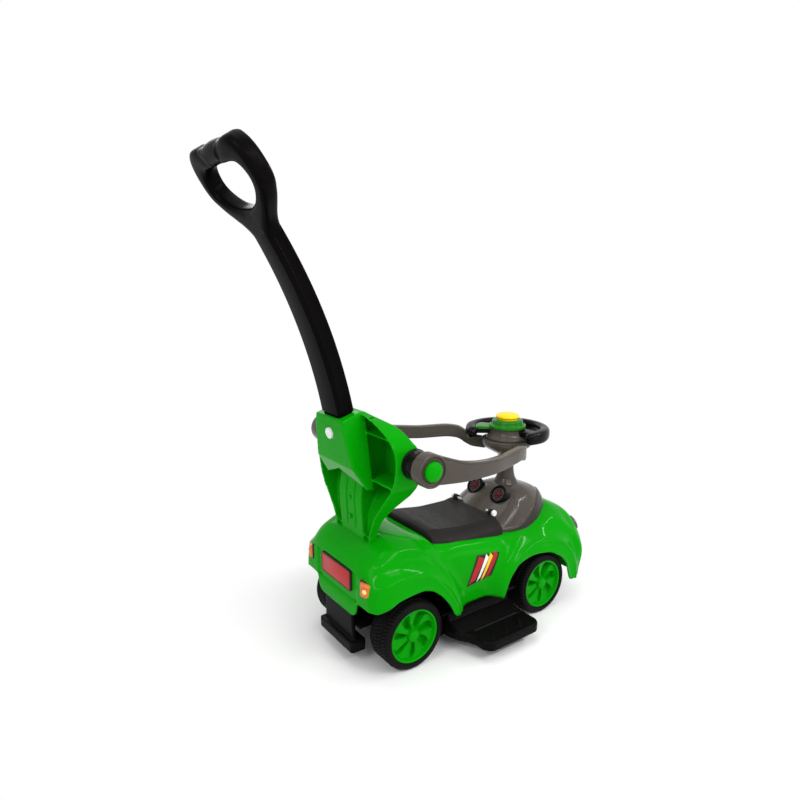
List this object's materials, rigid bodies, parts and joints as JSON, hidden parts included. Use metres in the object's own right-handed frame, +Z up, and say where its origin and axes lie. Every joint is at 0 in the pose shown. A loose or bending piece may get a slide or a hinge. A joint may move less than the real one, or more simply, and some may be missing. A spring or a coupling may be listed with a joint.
{
  "type": "push car with handle",
  "caption": "Toddler ride-on push car with parent push handle, backrest, guard arms, steering wheel with horn, lift-up seat over a storage bin and sliding footrests.",
  "frame": {"origin": "on the ground, below the middle of the whole car with its handle", "axes": "+X forward, the way the car drives; +Y to the rider's left; +Z up"},
  "size_m": [0.762, 0.394, 0.8877],
  "materials": {
    "body_green": "glossy moulded plastic",
    "tyre_black": "dull black with tread",
    "seat_dark": "grained dark plastic",
    "console_grey": "metallic grey-brown plastic",
    "frame_black": "black moulded plastic",
    "handle_black": "glossy black plastic",
    "steel": "plain zinc-plated steel",
    "plate_red": "red plastic, bare",
    "lamp_amber": "amber lens",
    "lamp_clear": "clear lens over a silver dish",
    "horn_yellow": "yellow button",
    "pin_white": "white plastic"
  },
  "bodies": {
    "car": {"chassis_tray": "frame_black", "rear_axle": "steel", "rear_bumper": "frame_black", "front_beam": "frame_black", "king_pins": "steel", "column_housing": "console_grey", "storage_bin": "frame_black", "body_shell": "body_green", "console": "console_grey", "dial_left": "handle_black", "dial_right": "handle_black", "seat_hinge_pins": "pin_white", "backrest": "body_green", "backrest_screws": "steel", "guard_arm_left": "console_grey", "guard_arm_right": "console_grey", "guard_drum_left": "handle_black", "guard_drum_right": "handle_black", "guard_cap_left": "body_green", "guard_cap_right": "body_green", "tail_lamp_left": "lamp_amber", "tail_lamp_right": "lamp_amber", "head_lamp_left": "lamp_clear", "head_lamp_right": "lamp_clear", "rear_plate": "plate_red", "front_grille": "handle_black", "chassis_screws": "steel", "sound_box": "frame_black"},
    "steering": {"steering_shaft": "steel", "steering_wheel": "handle_black", "horn_pad": "body_green", "horn_spring": "steel"},
    "horn": {"horn_button": "horn_yellow"},
    "seat": {"seat_lid": "seat_dark"},
    "handle": {"push_handle": "handle_black"},
    "handle_lock": {"handle_lock_button": "pin_white"},
    "tie_rod": {"tie_rod": "steel"},
    "knuckle_left": {"steering_knuckle_left": "steel"},
    "footrest_left": {"footrest_left": "frame_black"},
    "rear_wheel_left": {"rear_tyre_left": "tyre_black", "rear_rim_left": "body_green", "rear_hub_cap_left": "body_green"},
    "front_wheel_left": {"front_tyre_left": "tyre_black", "front_rim_left": "body_green", "front_hub_cap_left": "body_green"},
    "knuckle_right": {"steering_knuckle_right": "steel"},
    "footrest_right": {"footrest_right": "frame_black"},
    "rear_wheel_right": {"rear_tyre_right": "tyre_black", "rear_rim_right": "body_green", "rear_hub_cap_right": "body_green"},
    "front_wheel_right": {"front_tyre_right": "tyre_black", "front_rim_right": "body_green", "front_hub_cap_right": "body_green"}
  },
  "joints": [
    {"name": "steering_turn", "type": "hinge", "parent": "car", "child": "steering", "pos_m": [0.24341, 0, 0.3], "axis": [0, 0, 1], "range_deg": [-15, 15]},
    {"name": "knuckle_left_turn", "type": "hinge", "parent": "car", "child": "knuckle_left", "pos_m": [0.23541, 0.08, 0.064], "axis": [0, 0, 1], "range_deg": [-15.1, 15.1]},
    {"name": "knuckle_right_turn", "type": "hinge", "parent": "car", "child": "knuckle_right", "pos_m": [0.23541, -0.08, 0.064], "axis": [0, 0, 1], "range_deg": [-15.1, 15.1]},
    {"name": "tie_rod_turn", "type": "hinge", "parent": "knuckle_left", "child": "tie_rod", "pos_m": [0.20541, 0.08, 0.05], "axis": [0, 0, 1], "range_deg": [-15.1, 15.1]},
    {"name": "rear_wheel_left_spin", "type": "hinge", "parent": "car", "child": "rear_wheel_left", "pos_m": [-0.09459, 0.1, 0.064], "axis": [0, 1, 0], "continuous": true},
    {"name": "front_wheel_left_spin", "type": "hinge", "parent": "knuckle_left", "child": "front_wheel_left", "pos_m": [0.23541, 0.1, 0.064], "axis": [0, 1, 0], "continuous": true},
    {"name": "footrest_left_slide", "type": "slide", "parent": "car", "child": "footrest_left", "axis": [0, -1, 0], "range_m": [0, 0.07]},
    {"name": "rear_wheel_right_spin", "type": "hinge", "parent": "car", "child": "rear_wheel_right", "pos_m": [-0.09459, -0.1, 0.064], "axis": [0, 1, 0], "continuous": true},
    {"name": "front_wheel_right_spin", "type": "hinge", "parent": "knuckle_right", "child": "front_wheel_right", "pos_m": [0.23541, -0.1, 0.064], "axis": [0, 1, 0], "continuous": true},
    {"name": "footrest_right_slide", "type": "slide", "parent": "car", "child": "footrest_right", "axis": [0, 1, 0], "range_m": [0, 0.07]},
    {"name": "horn_press", "type": "slide", "parent": "steering", "child": "horn", "axis": [0, 0, -1], "range_m": [0, 0.003], "stiffness_N_per_m": 800, "springref_m": -0.002, "deforming": ["horn_spring"]},
    {"name": "seat_lift", "type": "hinge", "parent": "car", "child": "seat", "pos_m": [0.15141, 0, 0.217], "axis": [0, 1, 0], "range_deg": [0, 75]},
    {"name": "handle_pull", "type": "slide", "parent": "car", "child": "handle", "axis": [-0.2079, 0, 0.9781], "range_m": [0, 0.094]},
    {"name": "handle_lock_press", "type": "slide", "parent": "car", "child": "handle_lock", "axis": [0.9848, 0, 0.1736], "range_m": [0, 0.004], "stiffness_N_per_m": 400, "springref_m": -0.002}
  ],
  "couplings": [
    {"joint": "knuckle_left_turn", "follows": "steering_turn", "ratio": 1},
    {"joint": "knuckle_right_turn", "follows": "steering_turn", "ratio": 1},
    {"joint": "tie_rod_turn", "follows": "steering_turn", "ratio": -1}
  ]
}
